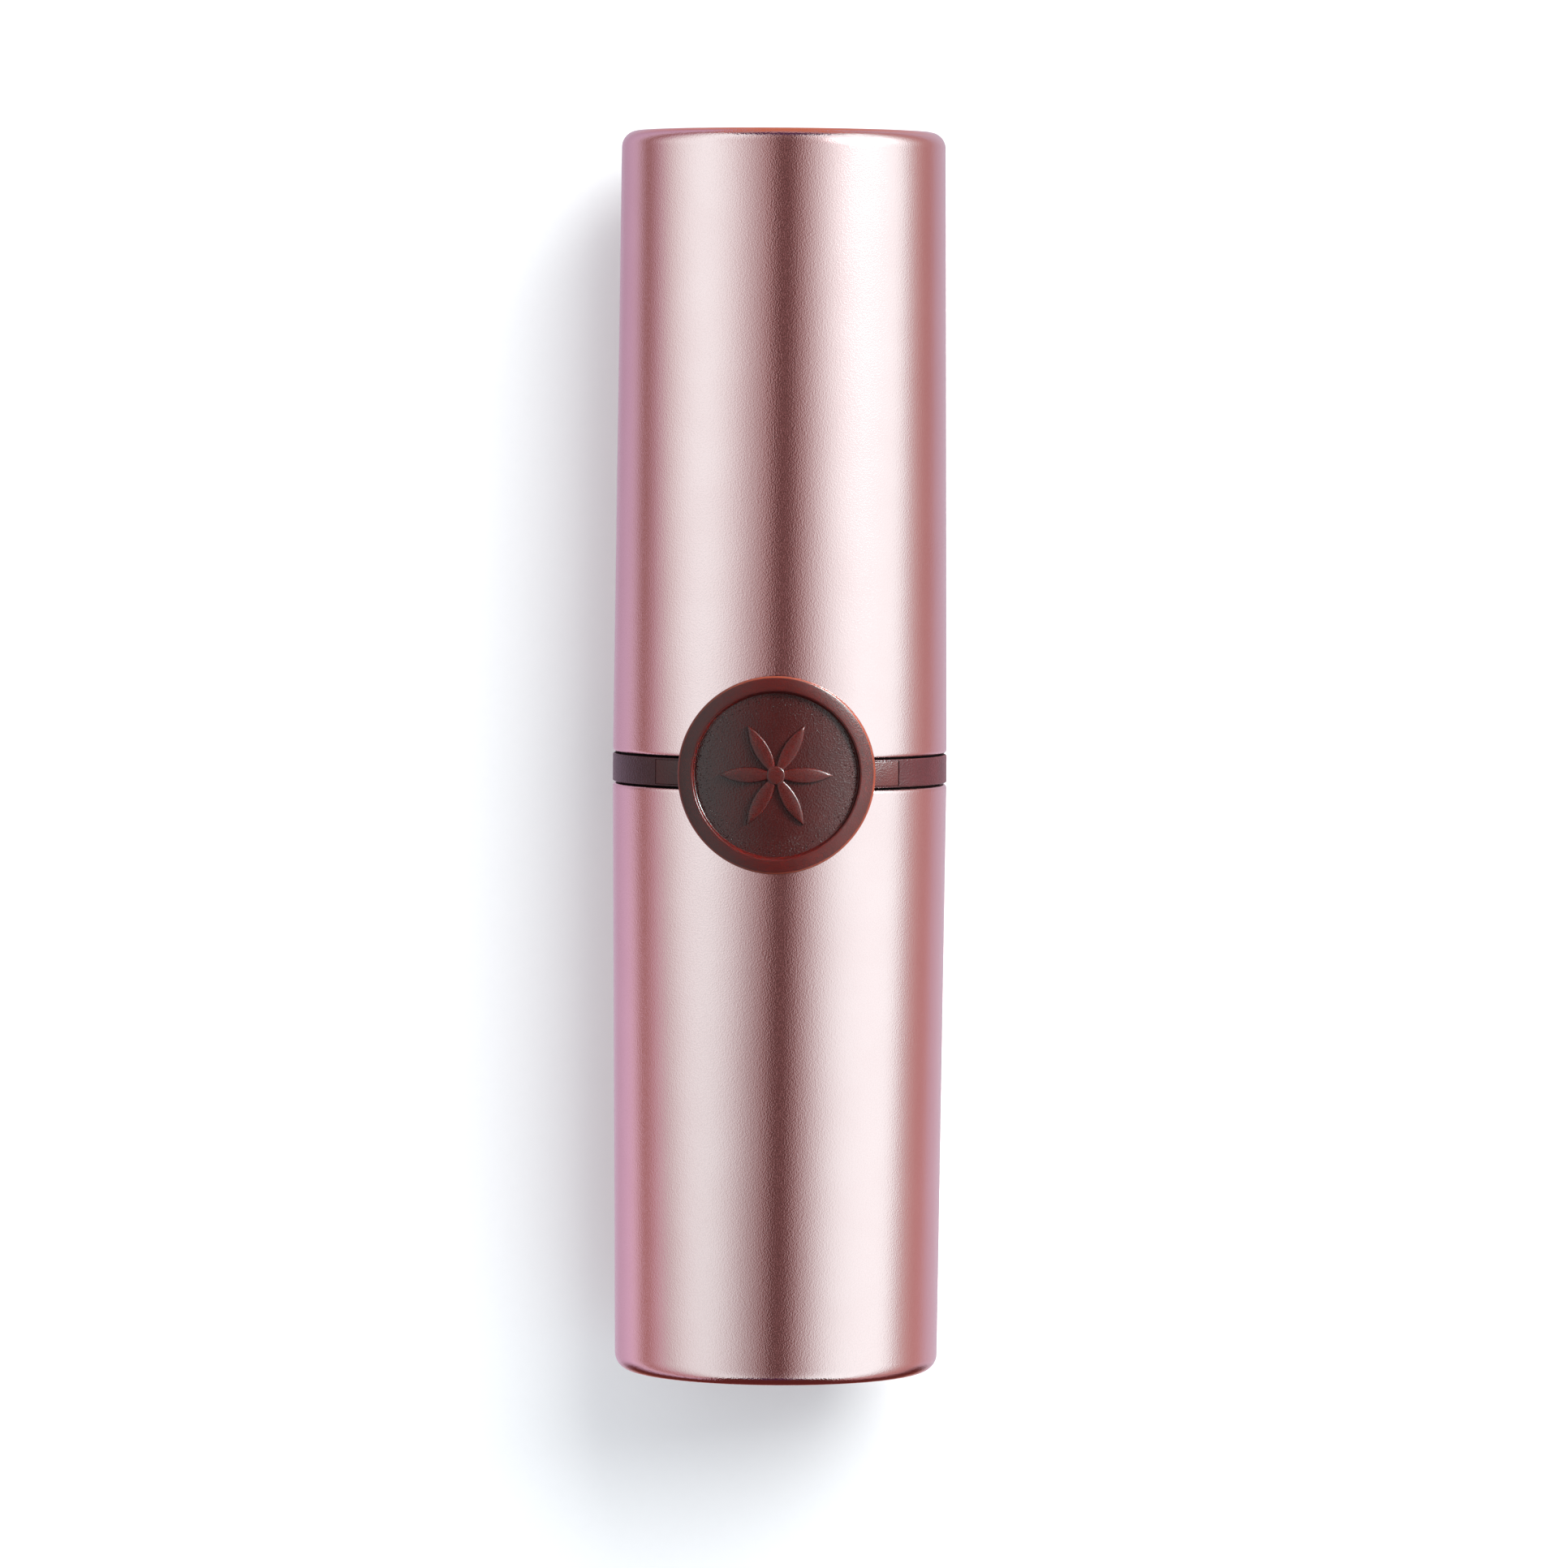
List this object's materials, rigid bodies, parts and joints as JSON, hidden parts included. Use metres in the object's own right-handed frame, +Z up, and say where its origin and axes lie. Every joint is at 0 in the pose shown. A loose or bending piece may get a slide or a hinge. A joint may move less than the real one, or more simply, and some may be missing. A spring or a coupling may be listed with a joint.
{
  "type": "lipstick case",
  "caption": "Twist-up lipstick case, closed: tapered round base and pull-off cap with satin rose-gold shells, a dark band at the seam and a raised round badge over it.",
  "frame": {"origin": "centre of the foot under the base, on the surface that the case stands on", "axes": "+Z up along the axis of the case, from base to cap; the badge and the slant of the bullet face -Y"},
  "size_m": [0.0204, 0.0214, 0.0757],
  "materials": {
    "rose_gold_shell": "metallised rose gold over moulded plastic, satin, with a fine sandy grain",
    "dark_band": "dark brown moulded plastic, satin",
    "rose_gold_sleeve": "smooth anodised rose gold",
    "white_plastic": "moulded, natural white",
    "liner_plastic": "moulded, dark brown",
    "steel": "turned",
    "ring_rubber": "matt, greased",
    "lipstick": "waxy, satin",
    "label_paper": "coated sticker in the colour of the shade, blank"
  },
  "bodies": {
    "base": {"base_shell": "rose_gold_shell", "base_weight": "steel", "base_label": "label_paper", "fork_tube": "white_plastic", "friction_ring": "ring_rubber", "band_ring": "dark_band", "badge": "dark_band"},
    "collar": {"collar_tube": "rose_gold_sleeve", "spiral_sleeve": "white_plastic"},
    "carrier": {"cup": "white_plastic", "bullet": "lipstick"},
    "cap": {"cap_shell": "rose_gold_shell", "cap_liner": "liner_plastic"}
  },
  "joints": [
    {"name": "cap_pull", "type": "slide", "parent": "base", "child": "cap", "axis": [0, 0, 1], "range_m": [0, 0.045]},
    {"name": "collar_turn", "type": "hinge", "parent": "base", "child": "collar", "pos_m": [0, 0, 0], "axis": [0, 0, 1], "range_deg": [0, 540]},
    {"name": "carrier_rise", "type": "slide", "parent": "base", "child": "carrier", "axis": [0, 0, 1], "range_m": [0, 0.0205]}
  ],
  "couplings": [
    {"joint": "carrier_rise", "follows": "collar_turn", "m_per_rad": 0.0021645}
  ]
}
